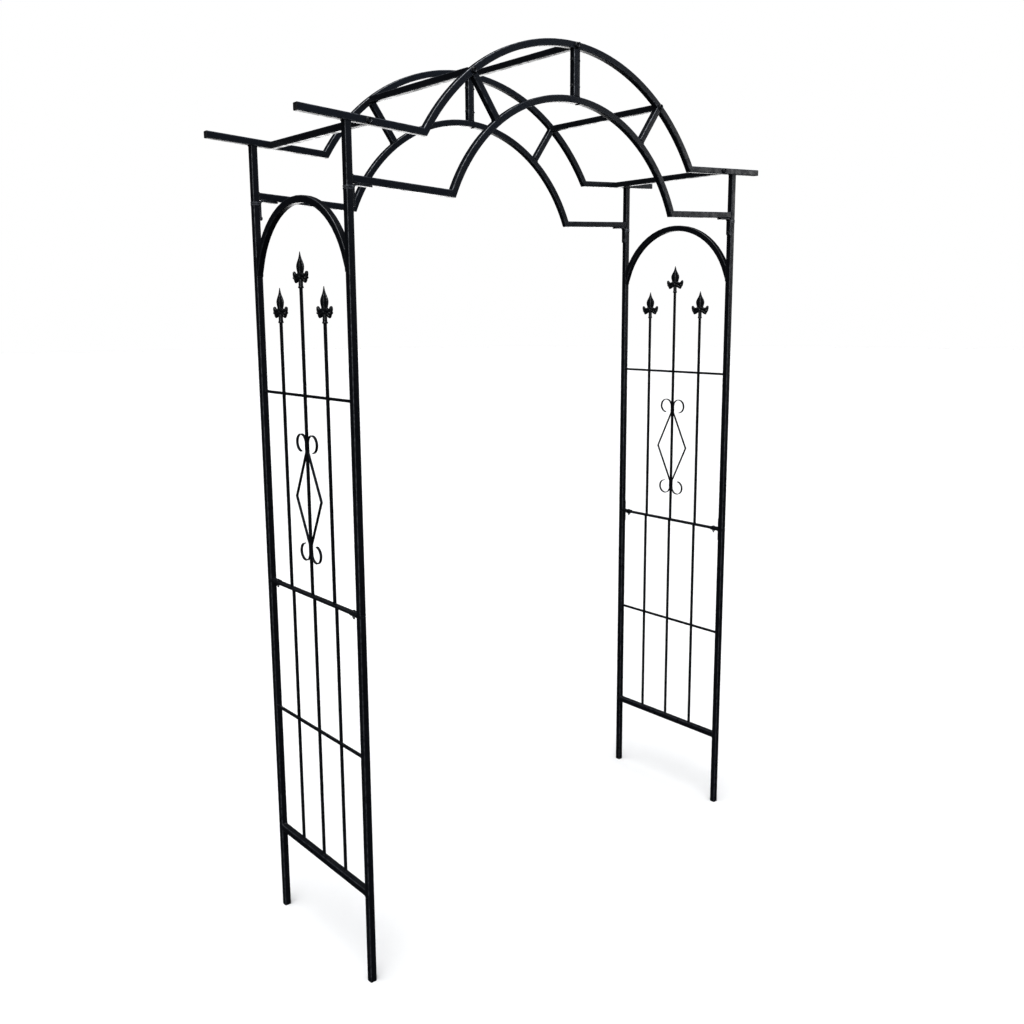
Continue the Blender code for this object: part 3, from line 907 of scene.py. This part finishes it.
def bead(bm, start, end, radius):
    """A weld bead: a rippled rod with tapering ends, half sunk in the corner between two pieces."""
    length = (end - start).length
    along = (end - start).normalized()
    side = along.orthogonal().normalized()
    lift = along.cross(side)
    steps = max(4, math.ceil(length / BEAD_STEP))
    rings = []
    for i in range(steps + 1):
        travel = length * i / steps
        centre = start + along * travel
        taper = math.sqrt(min(1.0, BLUNT_TIP + min(travel, length - travel) / radius))
        ripple = 1 + RIPPLE_SHARE * math.cos(2 * math.pi * travel / BEAD_RIPPLE)
        lump = 1 + LUMP_SHARE * noise.noise(centre * LUMP_SCALE)
        reach = radius * taper * ripple * lump
        angles = [2 * math.pi * k / BEAD_SIDES for k in range(BEAD_SIDES)]
        rings.append([bm.verts.new(centre + (side * math.cos(a) + lift * math.sin(a)) * reach)
                      for a in angles])
    skin(bm, rings)


def square_of_beads(bm, low, high, radius):
    """Beads round a flat rectangle, which has no depth along one axis."""
    flat = min(range(3), key=lambda i: high[i] - low[i])
    across, upwards = [axis for axis in range(3) if axis != flat]
    for first, second in ((across, upwards), (upwards, across)):
        for limit in (low, high):
            start, end = low.copy(), high.copy()
            start[second] = end[second] = limit[second]
            bead(bm, start, end, radius)


def mouth_sides(node):
    """The outer sides of a CAD tube's two cut ends, as pairs of corners."""
    bm = cad_bmesh(node)
    bore = bore_faces(bm)
    lining = {vertex for face in bore for vertex in face.verts}
    edges = {edge for face in mouth_faces(bm, bore) for edge in face.edges}
    sides = [tuple(vertex.co.copy() for vertex in edge.verts) for edge in edges
             if not lining.intersection(edge.verts)]
    bm.free()
    return sorted(sides, key=lambda pair: tuple(pair[0]) + tuple(pair[1]))


def tube_welds(bm, nodes, across_frame, skipped):
    """Beads round the tubes' ends: full ones in the corners and thin ones along flush faces."""
    for node in nodes:
        for start, end in mouth_sides(node):
            middle = (start + end) / 2
            if skipped(middle):
                continue
            along = (end - start).normalized()
            in_corner = abs(along.dot(across_frame)) > PARALLEL
            bead(bm, start, end, FILLET_BEAD if in_corner else SEAM_BEAD)


def panel_welds():
    for side, sign in SIDES.items():
        bm = bmesh.new()
        tubes = [f"{side}_bottom_rail", f"{side}_panel_arch"]
        tube_welds(bm, tubes, ACROSS, lambda middle: False)
        for end, end_sign in ENDS.items():
            for level, rise in (("lower", 1), ("upper", -1)):
                low, high = end_box(f"{side}_{end}_{level}_post", 2, rise)
                for y in (low.y, high.y):
                    bead(bm, Vector((low.x, y, low.z)), Vector((high.x, y, low.z)), SEAM_BEAD)
            for node in (f"{side}_lower_grille", f"{side}_upper_cross_rod"):
                square_of_beads(bm, *end_box(node, 1, end_sign), SMALL_BEAD)
        picket_welds(bm, side)
        piece_from(bm, f"{side}_panel_welds", "rail_coat", weighted=False)


def picket_welds(bm, side):
    """Beads at the pickets' feet and heads, at the rods that cross them, and at the scrolls."""
    foot_z = end_box(f"{side}_lower_grille", 2, -1)[0].z
    head_z = end_box(f"{side}_lower_grille", 2, 1)[0].z
    grille_low, grille_high = end_box(f"{side}_lower_grille", 2, -1)
    for place in ("front", "centre", "back"):
        low, high = end_box(f"{side}_{place}_picket", 2, -1)
        square_of_beads(bm, low, high, SMALL_BEAD)
        for z in (foot_z, head_z):
            square_of_beads(bm, Vector((grille_low.x, low.y, z)), Vector((grille_high.x, high.y, z)),
                            SMALL_BEAD)
        crossings = ((f"{side}_upper_cross_rod", low.x, high.x),
                     (f"{side}_lower_grille", grille_low.x, grille_high.x))
        for node, picket_low, picket_high in crossings:
            rod_low, rod_high = end_box(node, 1, 1)
            rod_outside = (rod_low.x + rod_high.x) / 2 < (picket_low + picket_high) / 2
            touch_x = picket_low if rod_outside else picket_high
            for z in (rod_low.z, rod_high.z):
                bead(bm, Vector((touch_x, low.y, z)), Vector((touch_x, high.y, z)), SMALL_BEAD)
    low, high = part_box(f"{side}_front_scroll")
    picket_low, picket_high = end_box(f"{side}_centre_picket", 2, -1)
    middle_z = (low.z + high.z) / 2
    for z in (middle_z - DIAMOND_HALF_HEIGHT, middle_z + DIAMOND_HALF_HEIGHT):
        for y in (picket_low.y, picket_high.y):
            for x in (picket_low.x, picket_high.x):
                middle = Vector((x, y, z))
                half = UP * TOUCH_BEAD_HALF_LENGTH
                bead(bm, middle - half, middle + half, TOUCH_BEAD)


def truss_welds():
    def not_welded(middle):
        at_joint = abs(middle.z - SECTION_JOINT_Z) < END_NEARNESS
        at_tip = abs(middle.x) > cad_box[1].x - END_NEARNESS
        at_left_crown = abs(middle.x - CROWN_FACE_X) < END_NEARNESS / 2
        return at_joint or at_tip or at_left_crown

    for end in ENDS:
        nodes = [f"{end}_crown_strut"]
        for side in SIDES:
            nodes += [f"{end}_{side}_{part}" for part in ("outer_hoop", "inner_hoop", "stub_post",
                                                          "side_strut")]
        bm = bmesh.new()
        tube_welds(bm, nodes, DEPTH, not_welded)
        piece_from(bm, f"{end}_truss_welds", "hoop_coat", weighted=False)


# Setting


def stage_object(name, mesh, material):
    mesh.materials.append(material)
    obj = bpy.data.objects.new(name, mesh)
    bpy.context.scene.collection.objects.link(obj)
    return obj


def floor():
    bm = bmesh.new()
    bmesh.ops.create_circle(bm, cap_ends=True, segments=96, radius=STAGE_RADIUS)
    mesh = bpy.data.meshes.new("floor")
    bm.to_mesh(mesh)
    bm.free()
    material, tree, shader, place = new_material("floor_paint")
    grain = ramp_of(tree, noise_at(tree, place, 1.5), 0.3, 0.7)
    tree.links.new(mixed_colour(tree, grain, (0.84, 0.84, 0.84), (0.86, 0.86, 0.86)),
                   shader.inputs["Base Color"])
    shader.inputs["Roughness"].default_value = 0.9
    paint = stage_object("floor", mesh, material)
    paint.visible_glossy = False
    paint.visible_diffuse = False


def backdrop():
    """A pale dome behind everything, which only the camera sees. The lights are in the world."""
    bm = bmesh.new()
    bmesh.ops.create_uvsphere(bm, u_segments=64, v_segments=32, radius=DOME_RADIUS)
    mesh = bpy.data.meshes.new("backdrop")
    bm.to_mesh(mesh)
    bm.free()
    material = bpy.data.materials.new("backdrop_glow")
    material.use_nodes = True
    tree = material.node_tree
    tree.nodes.remove(tree.nodes["Principled BSDF"])
    glow = tree.nodes.new("ShaderNodeEmission")
    glow.inputs["Color"].default_value = (1.0, 1.0, 1.0, 1)
    tree.links.new(glow.outputs["Emission"], tree.nodes["Material Output"].inputs["Surface"])
    dome = stage_object("backdrop", mesh, material)
    for ray in ("diffuse", "glossy", "transmission", "volume_scatter", "shadow"):
        setattr(dome, f"visible_{ray}", False)


def lamp_in_sky(tree, direction, inner, outer, colour, strength):
    """Soft round light from one direction: full to inner degrees off it, and gone at outer."""
    ray = tree.nodes.new("ShaderNodeTexCoord").outputs["Generated"]
    towards = tree.nodes.new("ShaderNodeVectorMath")
    towards.operation = "DOT_PRODUCT"
    tree.links.new(ray, towards.inputs[0])
    towards.inputs[1].default_value = Vector(direction).normalized()
    share = ramp_of(tree, towards.outputs["Value"], math.cos(math.radians(outer)),
                    math.cos(math.radians(inner)), 0, strength)
    lit = tree.nodes.new("ShaderNodeVectorMath")
    lit.operation = "SCALE"
    lit.inputs[0].default_value = colour
    tree.links.new(share, lit.inputs["Scale"])
    return lit.outputs["Vector"]


def sky():
    """Dim surroundings with the soft lamps."""
    world = bpy.data.worlds.new("studio")
    world.use_nodes = True
    tree = world.node_tree
    total = None
    for lamp in LAMPS:
        light = lamp_in_sky(tree, *lamp)
        if total is None:
            total = light
            continue
        add = tree.nodes.new("ShaderNodeVectorMath")
        add.operation = "ADD"
        tree.links.new(total, add.inputs[0])
        tree.links.new(light, add.inputs[1])
        total = add.outputs["Vector"]
    base = tree.nodes.new("ShaderNodeVectorMath")
    base.operation = "ADD"
    tree.links.new(total, base.inputs[0])
    base.inputs[1].default_value = DIM_SURROUNDINGS
    tree.links.new(base.outputs["Vector"], tree.nodes["Background"].inputs["Color"])
    bpy.context.scene.world = world


def studio():
    """A pale floor under the feet and pale surroundings, in soft light."""
    floor()
    backdrop()
    sky()
    bpy.context.scene.view_settings.view_transform = "Standard"
    bpy.context.scene.view_settings.gamma = 0.85


def camera():
    """The view from the front left, a little below the top of the side panels."""
    level = math.cos(CAMERA_PITCH)
    forward = Vector((math.sin(CAMERA_YAW) * level, math.cos(CAMERA_YAW) * level, math.sin(CAMERA_PITCH)))
    right = Vector((math.cos(CAMERA_YAW), -math.sin(CAMERA_YAW), 0))
    above = right.cross(forward)
    tilted_right = right * math.cos(CAMERA_ROLL) + above * math.sin(CAMERA_ROLL)
    tilted_up = above * math.cos(CAMERA_ROLL) - right * math.sin(CAMERA_ROLL)
    data = bpy.data.cameras.new("camera")
    data.lens = LENS
    data.shift_x, data.shift_y = SHIFT
    eye = bpy.data.objects.new("camera", data)
    bpy.context.scene.collection.objects.link(eye)
    turn = Matrix((tilted_right, tilted_up, -forward)).transposed().to_4x4()
    eye.matrix_world = Matrix.Translation(CAMERA_PLACE) @ turn
    bpy.context.scene.camera = eye


MATERIALS = make_materials()
camera()
studio()
coat_frame()
upper_pickets()
scrolls()
end_plates()
mid_joint_brackets()
end_plugs()
purlin_screws()
crown_bolts()
bracket_bolts()
panel_welds()
truss_welds()
